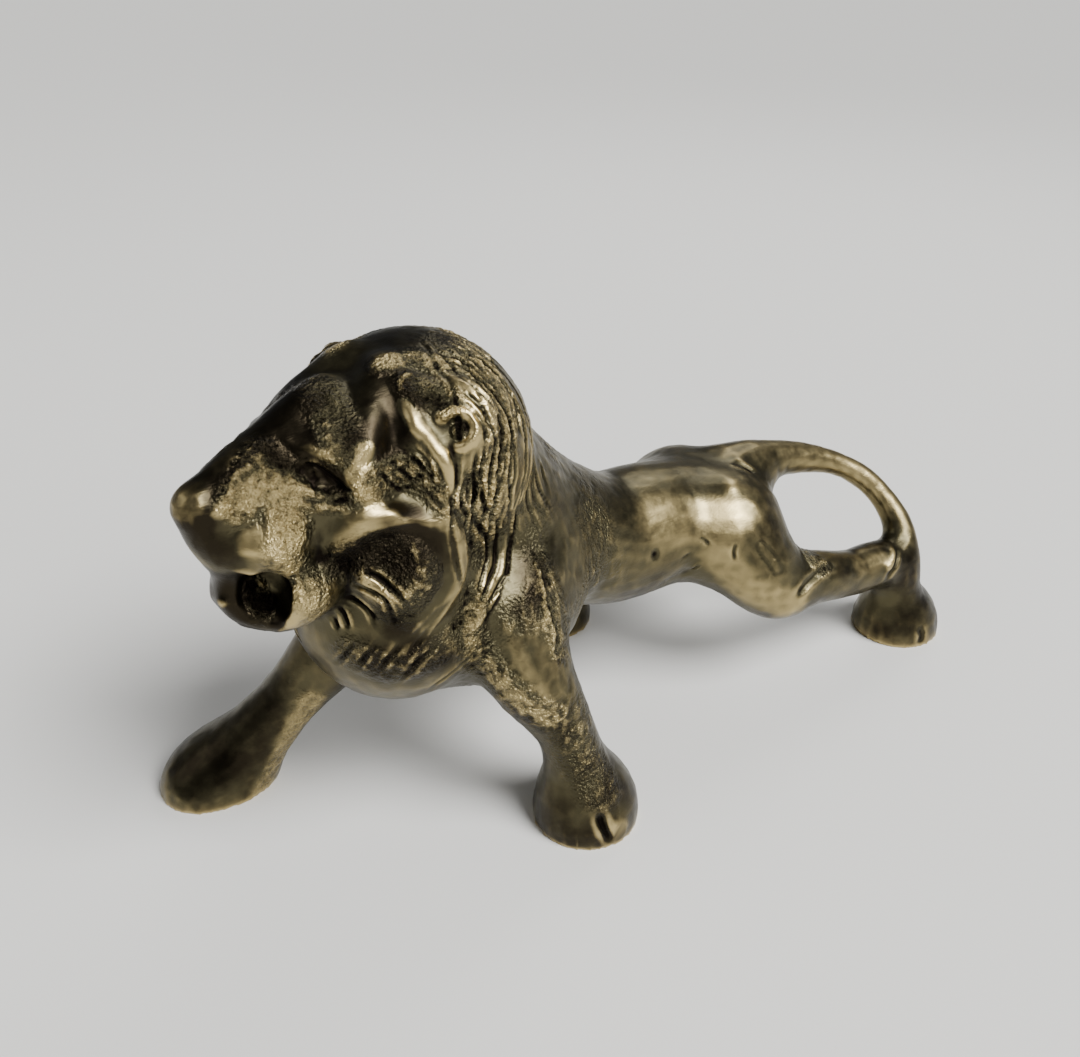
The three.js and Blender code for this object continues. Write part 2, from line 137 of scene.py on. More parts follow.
def neighbour_mean(values):
    """Each vertex's mean of its neighbours' values, summed over the edges both ways."""
    columns = values.reshape(count, -1)
    out = np.zeros_like(columns)
    for k in range(columns.shape[1]):
        out[:, k] = np.bincount(edges[:, 0], columns[edges[:, 1], k], count)
        out[:, k] += np.bincount(edges[:, 1], columns[edges[:, 0], k], count)
    out /= valence[:, None]
    return out.reshape(values.shape)


IN_STEP = 0.5
OUT_STEP = 0.52


def softened(points, rounds, share=1.0):
    """Taubin smoothing: a step in towards the neighbours' mean, then a slightly longer one out from
    it, each scaled by the share, so that facets go and the volume stays."""
    weight = np.broadcast_to(np.asarray(share, float).reshape(-1, 1), points.shape)
    for _ in range(rounds):
        points = points + IN_STEP * weight * (neighbour_mean(points) - points)
        points = points - OUT_STEP * weight * (neighbour_mean(points) - points)
    return points


HEAD_PIVOT = np.array([0.0, -35.0, 90.0])
FRAME_SHIFT = np.array([1.54, -3.38, -3.0])
HEAD_TURN = math.radians(12)
HEAD_TILT = math.radians(3)
turned = np.array([
    [math.cos(HEAD_TURN), -math.sin(HEAD_TURN), 0],
    [math.sin(HEAD_TURN), math.cos(HEAD_TURN), 0],
    [0, 0, 1],
]) @ np.array([
    [math.cos(HEAD_TILT), 0, -math.sin(HEAD_TILT)],
    [0, 1, 0],
    [math.sin(HEAD_TILT), 0, math.cos(HEAD_TILT)],
])


def to_head(points):
    """Points of the statue as points of its head set straight, so that x is 0 down its middle."""
    return (points - FRAME_SHIFT - HEAD_PIVOT) @ turned + HEAD_PIVOT


def from_head(points):
    """Points of the straight head as points of the statue."""
    return (points - HEAD_PIVOT) @ turned.T + HEAD_PIVOT + FRAME_SHIFT


def ramp(values, low, high):
    """0 below low, 1 above high, and 3t² − 2t³ between."""
    t = np.clip((values - low) / (high - low), 0, 1)
    return t * t * (3 - 2 * t)


# The head starts between these distances ahead of the lion's middle and heights above the floor.
HEAD_AHEAD = (45, 58)
HEAD_ABOVE = (58, 70)
SOLE_HEIGHT = 0.4

sole = skin[:, 2] < SOLE_HEIGHT
on_head = ramp(-to_head(skin)[:, 1], *HEAD_AHEAD) * ramp(to_head(skin)[:, 2], *HEAD_ABOVE)
body_share = np.where(sole, 0.0, 1 - on_head)
skin = softened(skin, BODY_SMOOTHING, body_share)
skin = softened(skin, HEAD_SMOOTHING, np.where(sole, 0.0, 1.0))


NORMAL_SMOOTHING = 3


def measured(points):
    """Puts the points into the casting's mesh, and gives its vertex normals, a little softened,
    and the tree that rays are sent at."""
    lion.data.vertices.foreach_set("co", (points / 1000).astype(np.float32).ravel())
    lion.data.update()
    facing = np.empty(count * 3, np.float32)
    lion.data.vertex_normals.foreach_get("vector", facing)
    facing = softened(facing.reshape(-1, 3).astype(float), NORMAL_SMOOTHING)
    bpy.context.view_layer.update()
    rays = BVHTree.FromObject(lion, bpy.context.evaluated_depsgraph_get())
    return facing / np.linalg.norm(facing, axis=1)[:, None], rays


normals, tree = measured(skin)
wavy = skin

# Whole numbers that stir a lattice corner's place and a seed into a random value.
CORNER_STIR = np.array([73856093, 19349663, 83492791])
SEED_STIR = 2654435761
LAST_STIR = 1274126177


def grain(points, size, seed):
    """Value noise from −1 to 1: a random value at each corner of a lattice of the given cell, read
    between corners with a 3t² − 2t³ blend."""
    cell = points / size
    low = np.floor(cell).astype(np.int64)
    t = cell - low
    t = t * t * (3 - 2 * t)
    out = np.zeros(len(points))
    for corner in range(8):
        step = np.array([corner & 1, corner >> 1 & 1, corner >> 2 & 1])
        key = (low + step) * CORNER_STIR
        mixed = key[:, 0] ^ key[:, 1] ^ key[:, 2] ^ seed * SEED_STIR
        mixed = (mixed ^ mixed >> 13) * LAST_STIR & 0x7FFFFFFF
        mixed = (mixed ^ mixed >> 16) & 0xFFFF
        weight = np.prod(np.where(step, t, 1 - t), axis=1)
        out += weight * (mixed / 32767.5 - 1)
    return out


def seen(line, step=1.2):
    """Where the rays through a line of photo pixels, (x, y) pairs read as one smooth curve and
    stepped a little over a pixel at a time, meet the casting: points and normals in millimetres."""
    corners = np.array(line, float)
    if len(corners) > 2:
        padded = np.vstack([2 * corners[0] - corners[1], corners, 2 * corners[-1] - corners[-2]])
        parts = []
        for a, b, c, d in zip(padded, padded[1:], padded[2:], padded[3:]):
            t = np.linspace(0, 1, max(2, int(np.linalg.norm(c - b) / step)), endpoint=False)[:, None]
            parts.append(0.5 * (2 * b + (c - a) * t + (2 * a - 5 * b + 4 * c - d) * t ** 2
                                + (3 * b - a - 3 * c + d) * t ** 3))
        corners = np.vstack(parts + [corners[-1:]])
    elif len(corners) == 2:
        t = np.linspace(0, 1, max(2, int(np.linalg.norm(corners[1] - corners[0]) / step)))[:, None]
        corners = corners[0] + (corners[1] - corners[0]) * t
    found = []
    for x, y in corners:
        ray = ahead + rightward * (x - PHOTO_WIDTH / 2) / LENS_PIXELS
        ray = ray + downward * (y - PHOTO_HEIGHT / 2) / LENS_PIXELS
        place, normal, _, _ = tree.ray_cast(camera.location, Vector(ray).normalized())
        if place is not None:
            found.append(tuple(place * 1000) + tuple(normal))
    return np.array(found).reshape(-1, 6)


MIRROR_REACH = 0.006


def mirrored(line):
    """A line on the head's left side, carried across its middle and set back on the casting, where
    the casting comes within the reach of it."""
    straight = to_head(line[:, :3])
    straight[:, 0] *= -1
    out = []
    for point in from_head(straight):
        place, normal, _, distance = tree.find_nearest(Vector(point / 1000))
        if distance < MIRROR_REACH:
            out.append(tuple(place * 1000) + tuple(normal))
    return np.array(out).reshape(-1, 6)


FACING_LEAST = 0.1
FAR_OFF = 1e9


def nearness(line, reach):
    """The vertices within reach of a line, their distance from it along the surface, the share of
    the way along it, and the side of it that they lie on: above 0 is to its right, seen from
    outside and going along it."""
    if len(line) < 2:
        return np.zeros(0, int), np.zeros(0), np.zeros(0), np.zeros(0)
    inside = np.all((skin > line[:, :3].min(0) - reach) & (skin < line[:, :3].max(0) + reach), axis=1)
    near = np.nonzero(inside)[0]
    apart = wavy[near][:, None, :] - line[None, :, :3]
    off = np.einsum("ijk,jk->ij", apart, line[:, 3:])
    square = np.einsum("ijk,ijk->ij", apart, apart) - off ** 2
    square = np.where(np.abs(off) > reach, FAR_OFF, np.maximum(square, 0))
    facing = normals[near] @ line[:, 3:].T
    square = np.where(facing < FACING_LEAST, FAR_OFF, square)
    closest = np.argmin(square, axis=1)
    distance = np.sqrt(square[np.arange(len(near)), closest])
    along = np.gradient(line[:, :3], axis=0)
    across = np.cross(along, line[:, 3:])
    side = np.einsum("ij,ij->i", apart[np.arange(len(near)), closest], across[closest])
    keep = distance < reach
    return near[keep], distance[keep], (closest / (len(line) - 1))[keep], np.sign(side)[keep]


def ends(share, taper):
    """1 along a line and down to 0 over the taper's share of it at each end."""
    if taper <= 0:
        return np.ones_like(share)
    return ramp(share, -0.02, taper) * ramp(1 - share, -0.02, taper)


def spread(layer, line, reach, amount, both=True):
    """Brings a layer to the amount along a line, in full to 0.4 of the reach and fading to its end."""
    for path in ([line, mirrored(line)] if both else [line]):
        near, distance, _, _ = nearness(path, reach)
        share = 1 - ramp(distance, 0.4 * reach, reach)
        layer[near] = layer[near] * (1 - share) + amount * share


def cut(line, width, depth, lip=0.3, taper=0.3, both=True):
    """A chisel cut along a line: −depth × exp(−(d/width)²), with a raised lip of displaced metal
    on both sides, lip × depth × exp(−((d − 1.7 width)/(0.7 width))²), pressed unevenly by hand."""
    for path in ([line, mirrored(line)] if both else [line]):
        near, distance, share, _ = nearness(path, width * 3.5)
        form = -np.exp(-(distance / width) ** 2)
        form += lip * np.exp(-((distance - 1.7 * width) / (0.7 * width)) ** 2)
        relief[near] += depth * pressed[near] * form * ends(share, taper)


def ridge(line, width, height, taper=0.25, both=True):
    """A soft ridge along a line: height × exp(−(d/width)²)."""
    for path in ([line, mirrored(line)] if both else [line]):
        near, distance, share, _ = nearness(path, width * 3)
        relief[near] += height * np.exp(-(distance / width) ** 2) * ends(share, taper)


def edge(line, width, height, side=1, taper=0.2, both=True):
    """The edge of a form that lies over the one beside it: on the side named it stands
    height × exp(−d/width) high, and on the other it sinks by the same within a third of that."""
    for turn, path in ((1, line), (-1, mirrored(line) if both else line[:0])):
        if len(path) < 2:
            continue
        near, distance, share, which = nearness(path, width * 3.5)
        upper = which * side * turn > 0
        form = np.where(upper, np.exp(-(distance / width)), -np.exp(-(distance / (0.45 * width)) ** 2))
        relief[near] += height * form * ends(share, taper)


def dent(place, radius, depth, both=False):
    """A dent, or with a depth below 0 a bump, about a photo pixel: −depth × exp(−(d/radius)²)."""
    spot = seen([place, place])
    for path in ([spot, mirrored(spot)] if both else [spot]):
        near, distance, _, _ = nearness(path, radius * 3)
        relief[near] -= depth * np.exp(-(distance / radius) ** 2)


# The wax was smoothed over at the temple, the brow's dent, the inside of the ear, the foot of the
# jowl's seam and the lips before the punch and the chisel went over them: its skin is drawn tight.
TIGHT_PLACES = [
    ([(378, 480), (404, 478), (430, 492)], 6.5),
    ([(322, 392), (333, 418), (342, 448)], 5.5),
    ([(424, 386), (446, 398), (460, 424)], 6.0),
    ([(457, 604), (461, 630)], 4.5),
    ([(229, 592), (233, 574), (254, 568), (279, 579), (287, 600), (275, 622), (250, 629),
      (232, 616)], 3.0),
]
TIGHT_ROUNDS = 90
TIGHT_STEP = 0.9

tight = np.zeros(count)
for line, reach in TIGHT_PLACES:
    spread(tight, seen(line), reach=reach, amount=1.0)
for _ in range(TIGHT_ROUNDS):
    skin = skin + TIGHT_STEP * tight[:, None] * (neighbour_mean(skin) - skin)
normals, tree = measured(skin)

# Hand cut lines are never straight or even, so each is read on a slightly wavy copy of the skin,
# and the chisel goes in more or less.
WAVE = 0.35
WAVE_CELL = 4.5
WAVE_SEEDS = (1, 2, 3)
PRESS_SHARE = 0.4
PRESS_CELL = 5.5
PRESS_SEED = 4

wavy = skin + WAVE * np.stack([grain(skin, WAVE_CELL, seed) for seed in WAVE_SEEDS], axis=1)
pressed = 1 + PRESS_SHARE * grain(skin, PRESS_CELL, PRESS_SEED)
relief = np.zeros(count)
rough = np.zeros(count)

# The brass is made darker towards the floor, on the legs and under the belly.
LOW_TONE = -0.3
LOW_PLACES = (25, 60)

# The tone layer lifts the brass towards pale gold and lowers it towards brown: it holds wear and patina,
# and also painted highlights and painted shade.
tone = LOW_TONE * (1 - ramp(skin[:, 2], *LOW_PLACES))


# Eyes
# Each eye is a narrow closed slit deep under a heavy brow, with a few cuts for its lids.

UPPER_LID = [(300, 470), (310, 465), (322, 470), (335, 480), (345, 490), (357, 495)]
LOWER_LID = [(296, 489), (310, 500), (330, 502), (346, 500), (357, 496)]
LID_CREASES = [
    [(307, 460), (325, 471), (340, 484), (356, 494)],
    [(322, 472), (330, 482), (341, 491)],
    [(306, 476), (316, 486), (330, 494)],
]
BROW_DENT = [(322, 392), (333, 418), (342, 448)]
BROW_RIDGE = [(276, 430), (296, 446), (322, 452), (346, 462)]

spread(rough, seen(BROW_DENT), reach=5.5, amount=0.9)
spread(tone, seen(BROW_DENT), reach=4.5, amount=0.2)
spread(rough, seen(LOWER_LID), reach=3.0, amount=0.8)
# Painted shadow of the brow: the upper lid is darkened where the brow shades the eye.
spread(tone, seen([UPPER_LID[1], UPPER_LID[3], UPPER_LID[5]]), reach=3.2, amount=-0.9)
cut(seen(UPPER_LID), width=0.5, depth=0.55)
cut(seen(LOWER_LID), width=0.5, depth=0.4)
for crease in LID_CREASES:
    cut(seen(crease), width=0.4, depth=0.35)
ridge(seen(BROW_RIDGE), width=1.4, height=0.35)


# Muzzle
# A straight bridge over rough punched sides, a smooth nose with a groove at its side, and full
# smooth lips round an open mouth that is rough inside.

BRIDGE_EDGE = [(268, 450), (244, 470), (222, 490)]
NOSTRIL_WING = (219, 509)
NOSE_SIDE = [(195, 513), (206, 526), (215, 535), (221, 527)]
LIP_EDGE = [(222, 570), (236, 570), (256, 576), (276, 588), (287, 602)]
MUZZLE_SIDES = [[(262, 462), (248, 484), (238, 503)], [(280, 478), (286, 505), (292, 528)]]
LOWER_MUZZLE = [(284, 556), (304, 584), (318, 610)]
PAD = [(252, 541), (272, 543)]
NOSE_TIP = [(177, 500), (186, 500), (198, 506)]
NOSE_DARK = [(178, 512), (202, 540), (222, 558)]
MOUTH_WALL = [(252, 588), (256, 602), (264, 612)]
LIP_DARK = [(224, 584), (224, 604), (233, 621), (252, 627), (272, 624)]

# The punched sides are made rough, and lightened as a painted highlight.
for line in MUZZLE_SIDES:
    spread(rough, seen(line), reach=5.5, amount=0.9)
    spread(tone, seen(line), reach=5.0, amount=0.85)
spread(rough, seen(LOWER_MUZZLE), reach=5.0, amount=0.7)
# Painted shade on the side and underside of the nose, and under its tip.
spread(tone, seen(NOSE_DARK), reach=5.5, amount=-0.7)
spread(tone, seen(NOSE_TIP), reach=6.0, amount=-0.9)
# Painted highlight on the upper lip's pad.
spread(tone, seen(PAD), reach=3.4, amount=0.9)
spread(rough, seen(MOUTH_WALL), reach=3.0, amount=1.0)
# Painted light on the mouth's inner wall, lightened against the shade inside the mouth.
spread(tone, seen(MOUTH_WALL), reach=3.0, amount=0.8)
spread(tone, seen(LIP_DARK), reach=6.0, amount=-0.9)
ridge(seen(BRIDGE_EDGE), width=0.9, height=0.25)
dent(NOSTRIL_WING, radius=1.7, depth=-0.45, both=True)
# Painted highlight on the nostril's wing.
spread(tone, seen([NOSTRIL_WING, NOSTRIL_WING]), reach=2.2, amount=0.8)
cut(seen(NOSE_SIDE), width=1.2, depth=0.35, lip=0.1)
ridge(seen(LIP_EDGE), width=1.0, height=0.35)


# Brow and crown
# The forehead, the folds above the eyes and the crown are rubbed smooth under a dark brown patina.

FOREHEAD = [(300, 385), (284, 420), (292, 446)]
BROW_FOLD = [(372, 372), (384, 402), (376, 440)]
CROWN = [(330, 350), (380, 336), (440, 345)]
BRIDGE_TOP = [(255, 432), (215, 464), (185, 487)]

spread(tone, seen(FOREHEAD), reach=7.0, amount=-0.8)
spread(tone, seen(BROW_FOLD), reach=9.0, amount=-1.0)
spread(tone, seen(CROWN), reach=9.0, amount=-0.45)
spread(tone, seen(BRIDGE_TOP), reach=6.0, amount=-0.5)


# Cheeks and beard
# A smooth rounded rim runs round each jowl. Its face is punched rough and darkened as painted shade,
# with five curled cuts in it for a beard, and the cheekbone in front of it carries a painted highlight.

BEARD = [
    [(358, 569), (377, 577), (392, 590), (404, 603), (412, 613)],
    [(352, 584), (367, 590), (382, 598), (392, 615), (397, 628)],
    [(344, 594), (357, 600), (370, 612), (377, 627)],
    [(339, 606), (345, 617), (350, 631)],
    [(334, 618), (339, 630)],
]
JOWL_FACE = [(352, 556), (378, 545), (402, 558), (414, 588), (398, 612)]
JOWL_RIM = [(432, 517), (452, 532), (459, 556), (455, 578), (440, 596)]
JOWL_TOP = [(345, 528), (375, 512), (410, 510)]
JOWL_DARK = [(424, 542), (432, 575), (420, 604), (396, 622)]
JOWL_CREST = [(398, 514), (424, 520), (440, 534)]
CHEEKBONE = [(363, 452), (360, 474), (360, 492), (376, 503)]
TEMPLE = [(374, 484), (398, 470), (428, 480), (450, 502)]
TEMPLE_HAIR = [
    [(411, 447), (425, 460), (433, 480)],
    [(400, 454), (416, 463), (428, 476), (435, 488)],
    [(385, 460), (402, 470), (417, 483)],
    [(396, 446), (412, 456), (426, 470)],
    [(376, 470), (392, 482), (405, 492)],
    [(420, 488), (434, 498), (446, 510)],
]

spread(rough, seen(JOWL_FACE), reach=6.5, amount=0.75)
# Painted shade on the jowl's face, which turns down and away from the light, deepest towards its rim and
# foot.
spread(tone, seen(JOWL_FACE), reach=6.5, amount=-0.4)
spread(tone, seen(JOWL_DARK), reach=6.0, amount=-0.5)
spread(tone, seen(JOWL_CREST), reach=4.5, amount=-0.6)
for wrinkle in BEARD:
    cut(seen(wrinkle), width=0.6, depth=0.6, lip=0.55)
spread(rough, seen(JOWL_RIM), reach=2.6, amount=0.0)
spread(tone, seen(JOWL_RIM), reach=3.5, amount=-0.3)
ridge(seen(JOWL_TOP), width=1.6, height=0.3)
spread(rough, seen(TEMPLE), reach=4.5, amount=0.9)
spread(tone, seen(TEMPLE), reach=4.0, amount=0.25)
# Painted highlight along the cheekbone.
spread(tone, seen(CHEEKBONE), reach=2.8, amount=0.7)
ridge(seen(CHEEKBONE), width=1.3, height=0.4)
for strand in TEMPLE_HAIR:
    cut(seen(strand), width=0.42, depth=0.42, lip=0.4)


# Ears
# A round ear with a dished rough face, an inner curl and a pit, behind a smooth lock that starts at
# the brow and runs down in front of it. The curl and the lock carry painted highlights, and the pit
# is painted lighter than its shade.

EAR_RIM = [(402, 396), (400, 386), (403, 378), (414, 374)]
EAR_BACK_RIM = [(455, 395), (468, 402), (478, 416), (480, 432), (473, 445), (458, 452)]
EAR_CURL = [(438, 424), (444, 416), (456, 412), (468, 416), (474, 427), (471, 438), (462, 446),
            (453, 448)]
EAR_HOLLOW = (434, 396)
EAR_PIT = (458, 431)
EAR_FACE = [(412, 384), (428, 392), (446, 402)]
FRONT_LOCK = [(405, 405), (414, 424), (428, 434), (438, 450), (447, 468), (455, 490)]
LOCK_BEHIND = [(446, 440), (453, 458), (457, 480), (459, 500)]
LOCK_INSIDE = [(416, 437), (426, 446), (436, 464), (446, 486)]
ABOVE_EAR = [(384, 362), (412, 358), (444, 366)]

spread(rough, seen(EAR_FACE), reach=4.5, amount=0.8)
spread(rough, seen(ABOVE_EAR), reach=4.0, amount=0.8)
spread(tone, seen(ABOVE_EAR), reach=3.0, amount=0.35)
spread(rough, seen(FRONT_LOCK), reach=2.0, amount=0.0)
dent(EAR_HOLLOW, radius=3.0, depth=1.5, both=True)
ridge(seen(EAR_RIM), width=0.8, height=0.6)
ridge(seen(EAR_BACK_RIM), width=1.2, height=0.7)
ridge(seen(EAR_CURL), width=1.1, height=1.5, taper=0.1)
# Painted highlight on the inner curl.
spread(tone, seen(EAR_CURL), reach=1.6, amount=0.9)
spread(rough, seen([EAR_PIT, EAR_PIT]), reach=2.0, amount=0.9)
# Painted light in the pit, lightened against its shade.
spread(tone, seen([EAR_PIT, EAR_PIT]), reach=2.0, amount=0.6)
ridge(seen(FRONT_LOCK), width=1.3, height=0.55)
# Painted highlight along the lock.
spread(tone, seen(FRONT_LOCK), reach=1.8, amount=0.5)
cut(seen(LOCK_BEHIND), width=0.7, depth=0.6)
cut(seen(LOCK_INSIDE), width=0.45, depth=0.4)


# Mane
# Long locks combed back over the crown and round each ear, then down behind the jowl to a ruff
# under the chin, all cut with a round chisel into a rough ground.

EAR_LOCKS = [
    [(452, 347), (475, 357), (495, 372), (510, 392), (517, 415), (520, 440)],
    [(442, 357), (467, 370), (487, 385), (502, 405), (510, 425), (512, 450), (510, 475), (507, 500)],
    [(447, 370), (472, 385), (490, 402), (500, 422), (502, 445), (500, 465), (492, 487)],
    [(460, 392), (477, 405), (487, 420), (495, 437), (496, 452)],
    [(436, 352), (460, 360), (480, 374), (494, 388)],
    [(472, 412), (482, 425), (485, 440)],
    [(505, 385), (516, 402), (524, 425), (526, 450)],
]
SIDE_LOCKS = [
    [(477, 450), (475, 470), (474, 490), (475, 506)],
    [(485, 450), (482, 470), (482, 495), (485, 512)],
    [(495, 446), (492, 470), (490, 490), (487, 506)],
    [(505, 442), (505, 462), (502, 482), (497, 497), (495, 515)],
    [(510, 480), (510, 500), (507, 522)],
    [(467, 506), (475, 520), (485, 536), (487, 556), (482, 580), (475, 602)],
    [(510, 522), (508, 545), (505, 570), (495, 592), (485, 608)],
    [(497, 515), (496, 540), (494, 565), (486, 590), (476, 610)],
    [(463, 480), (462, 500), (468, 520)],
]
SIDE_GROUND = [(486, 372), (500, 410), (498, 455), (484, 490), (482, 540)]
COLLAR = [(528, 432), (531, 455), (527, 482), (515, 512), (509, 545), (505, 575), (493, 605),
          (470, 640)]
RUFF_LOCKS = [
    [(402, 640), (392, 655), (378, 672)],
    [(424, 652), (412, 668), (398, 684)],
    [(472, 655), (455, 670), (435, 685), (428, 693)],
    [(460, 590), (440, 615), (418, 642), (402, 668)],
    [(448, 600), (428, 622), (408, 645)],
    [(440, 640), (424, 658), (408, 678)],
    [(380, 640), (368, 655), (352, 670)],
    [(358, 640), (346, 654), (332, 664)],
]
RUFF_GROUND = [(352, 655), (392, 668), (432, 655), (462, 628)]
LOCK_WIDTH = 0.5
LOCK_DEPTH = 0.6
NAPE_LOCKS = 11
NAPE_FROM = 62
NAPE_TO = 178
NAPE_HIGH = 80
NAPE_LOW = -30
NAPE_EDGE = -29
NAPE_DEPTH = 0.45
NAPE_SWAY = 5
NAPE_RAYS = 60
MANE_HEART = np.array([0.0, -47.0, 90.0])
MANE_REACH = 80
SHORT_LOCK_TURN = 6
SHORT_LOCK_HIGH = 35
SHORT_LOCK_LIFT = 10
SHORT_LOCK_DEPTH = 0.35


def around_mane(turn, low, high):
    """A lock down the back of the mane, at a turn in degrees from straight ahead: rays go in
    towards the mane's heart from heights between high and low degrees, and the turn sways by
    NAPE_SWAY × sin(2π × share) degrees on the way down. It stops at the mane's hind edge."""
    share = np.linspace(0, 1, NAPE_RAYS)
    height = np.radians(high + (low - high) * share)
    way = np.radians(turn + NAPE_SWAY * np.sin(2 * np.pi * share))
    out = np.stack([np.sin(way) * np.cos(height), -np.cos(way) * np.cos(height), np.sin(height)], axis=1)
    found = []
    for point in MANE_HEART + MANE_REACH * out:
        start, heart = from_head(np.array([point, MANE_HEART]))
        place, normal, _, _ = tree.ray_cast(Vector(start / 1000), Vector(heart - start).normalized())
        if place is not None and to_head(np.array([place]) * 1000)[0, 1] < NAPE_EDGE:
            found.append(tuple(place * 1000) + tuple(normal))
    return np.array(found).reshape(-1, 6)


spread(rough, seen(SIDE_GROUND), reach=8.0, amount=0.85)
spread(rough, seen(RUFF_GROUND), reach=5.5, amount=0.55)
spread(tone, seen(RUFF_GROUND), reach=9.0, amount=-0.35)
for lock in EAR_LOCKS + SIDE_LOCKS:
    cut(seen(lock), width=LOCK_WIDTH, depth=LOCK_DEPTH, lip=0.35, taper=0.2)
edge(seen(COLLAR), width=2.2, height=0.45, side=1)
for lock in RUFF_LOCKS:
    cut(seen(lock), width=0.6, depth=0.35, lip=0.4)
for turn in np.linspace(NAPE_FROM, NAPE_TO, NAPE_LOCKS):
    cut(around_mane(turn, NAPE_LOW, NAPE_HIGH), width=LOCK_WIDTH, depth=NAPE_DEPTH, taper=0.15)
    cut(around_mane(turn + SHORT_LOCK_TURN, NAPE_LOW + SHORT_LOCK_LIFT, SHORT_LOCK_HIGH),
        width=LOCK_WIDTH * 0.8, depth=SHORT_LOCK_DEPTH)


# Body and legs
# Smooth filed flanks between a few creases: behind the shoulder, under the belly, at the thigh and
# the tail's root, with two casting pits, some cracks and a small let-in patch on the flank.

SHOULDER_CREASE = [(523, 540), (535, 560), (545, 590), (552, 620), (560, 655)]
SHOULDER_ROUGH = [(540, 560), (547, 598), (553, 628), (560, 654)]
NECK_SIDE = [(540, 545), (530, 572), (526, 600)]
CHEST_ROUGH = [(470, 606), (472, 640), (490, 672), (519, 702), (550, 720)]
CHEST_EDGE = [(503, 606), (508, 632), (520, 660), (540, 690), (562, 715)]
SHIN_ROUGH = [(572, 738), (588, 768), (602, 792)]
THIGH_CREASE = [(794, 606), (803, 589), (820, 572), (837, 563)]
THIGH_ROUGH = [(790, 533), (806, 552), (822, 566)]
TAIL_ROOT = [(730, 461), (745, 467), (755, 474)]
BELLY_CREASE = [(640, 602), (668, 582), (697, 566)]
FLANK_PIT = (656, 555)
SMALL_PIT = [(736, 543), (734, 552), (735, 561)]
CRACKS = [[(699, 536), (705, 540), (711, 545)], [(682, 558), (690, 553)], [(692, 570), (699, 565)]]
PATCH = [(761, 540), (771, 550), (779, 560), (783, 569), (776, 574), (769, 565), (762, 556),
         (757, 546), (761, 540)]
HIP_BUMP = (732, 486)
TUFT_GROOVE = [(896, 545), (896, 560), (890, 573), (884, 584)]
HOCK_EDGE = [(893, 546), (892, 560), (886, 572)]
HIND_TOES = [(920, 626), (922, 636), (919, 645)]
FORE_TOE = [(600, 812), (602, 824), (607, 835), (613, 843)]
TOE_BUMP = (619, 827)
FLANK_HIGHLIGHT = [(655, 517), (686, 522), (722, 520)]
THIGH_HIGHLIGHT = [(715, 552), (745, 588), (790, 606)]
SHANK_HIGHLIGHT = [(860, 566), (884, 560)]
PAW_BROWN = [(548, 832), (575, 846), (600, 844)]
FAR_LEG_SHADED_SIDE = [(268, 695), (236, 745), (190, 782)]
FAR_LEG_LIT_SIDE = [(312, 702), (286, 748), (262, 792)]

edge(seen(SHOULDER_CREASE), width=3.0, height=0.3, side=1, both=False)
spread(rough, seen(SHOULDER_ROUGH), reach=3.2, amount=0.7, both=False)
spread(tone, seen(NECK_SIDE), reach=7.0, amount=-0.35, both=False)
spread(rough, seen(CHEST_ROUGH), reach=6.0, amount=0.9, both=False)
spread(tone, seen(CHEST_ROUGH), reach=3.2, amount=0.45, both=False)
ridge(seen(CHEST_EDGE), width=2.2, height=0.35, both=False)
spread(rough, seen(SHIN_ROUGH), reach=7.0, amount=0.6, both=False)
cut(seen(THIGH_CREASE), width=1.2, depth=0.6, lip=0.2, both=False)
spread(rough, seen(THIGH_ROUGH), reach=4.0, amount=0.6, both=False)
cut(seen(TAIL_ROOT), width=1.2, depth=0.5, both=False)
cut(seen(BELLY_CREASE), width=2.2, depth=0.5, lip=0.1, both=False)
dent(FLANK_PIT, radius=1.3, depth=0.7)
cut(seen(SMALL_PIT), width=0.5, depth=0.5, both=False)
for crack in CRACKS:
    cut(seen(crack), width=0.35, depth=0.4, both=False)
cut(seen(PATCH), width=0.32, depth=0.16, lip=0.0, taper=0, both=False)
dent(HIP_BUMP, radius=3.0, depth=-0.6)
cut(seen(TUFT_GROOVE), width=0.9, depth=0.5, both=False)
ridge(seen(HOCK_EDGE), width=1.4, height=0.6, both=False)
cut(seen(HIND_TOES), width=1.0, depth=0.55, lip=0.2, both=False)
cut(seen(FORE_TOE), width=1.1, depth=1.0, lip=0.2, both=False)
dent(TOE_BUMP, radius=2.4, depth=-0.8)
# Painted highlights where the light falls on the flank's top, the thigh and the shank.
spread(tone, seen(FLANK_HIGHLIGHT), reach=9.0, amount=0.6, both=False)
spread(tone, seen(THIGH_HIGHLIGHT), reach=7.0, amount=0.4, both=False)
spread(tone, seen(SHANK_HIGHLIGHT), reach=4.0, amount=0.3, both=False)
spread(tone, seen(PAW_BROWN), reach=8.0, amount=-0.5, both=False)
# Painted shade down the far foreleg's shaded side, and painted light down its lit side, which is also
# made rough.
spread(tone, seen(FAR_LEG_SHADED_SIDE), reach=8.0, amount=-0.5, both=False)
spread(tone, seen(FAR_LEG_LIT_SIDE), reach=5.0, amount=0.3, both=False)
spread(rough, seen(FAR_LEG_LIT_SIDE), reach=5.0, amount=0.4, both=False)


# Punched and brushed places
# Fur is only suggested: short chisel strokes on the neck, shoulders and chest, and punch marks on
# the rough ground between the locks. The rest keeps a faint cast skin under the file's polish.

FUR_FRONT = (-58, -50)
FUR_BACK = (-12, 0)
FUR_HEIGHT = (22, 34)
FUR_ROUGHNESS = 0.35
PUNCH_DEPTH = 0.26
STROKE_DEPTH = 0.15
SKIN_DEPTH = 0.02
